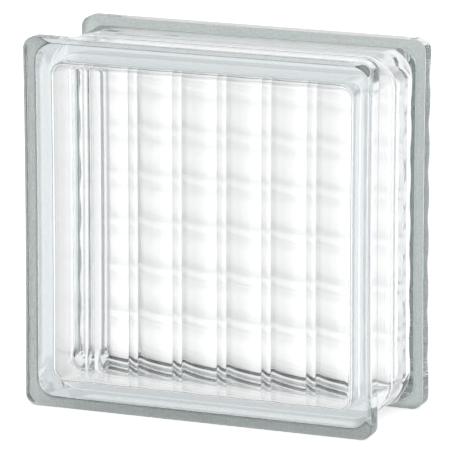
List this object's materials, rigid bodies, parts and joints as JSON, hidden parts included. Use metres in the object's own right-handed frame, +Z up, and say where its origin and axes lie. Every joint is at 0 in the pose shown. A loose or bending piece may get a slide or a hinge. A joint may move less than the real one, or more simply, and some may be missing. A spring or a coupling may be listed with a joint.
{
  "type": "glass block",
  "caption": "Square hollow glass block fused from two pressed halves, with crossed reeds inside its faces and a mortar channel round its sides.",
  "frame": {"origin": "centre of the underside, between the two lower rims the block stands on, midway between its faces", "axes": "+X across the block to the right seen from the front, +Y through it from the front face to the rear face, +Z up"},
  "size_m": [0.19, 0.08, 0.19],
  "materials": {
    "pressed_glass": "clear fire-polished gloss, faintly green at the thick edges"
  },
  "bodies": {
    "root": {"glass_block": "pressed_glass"}
  },
  "joints": []
}
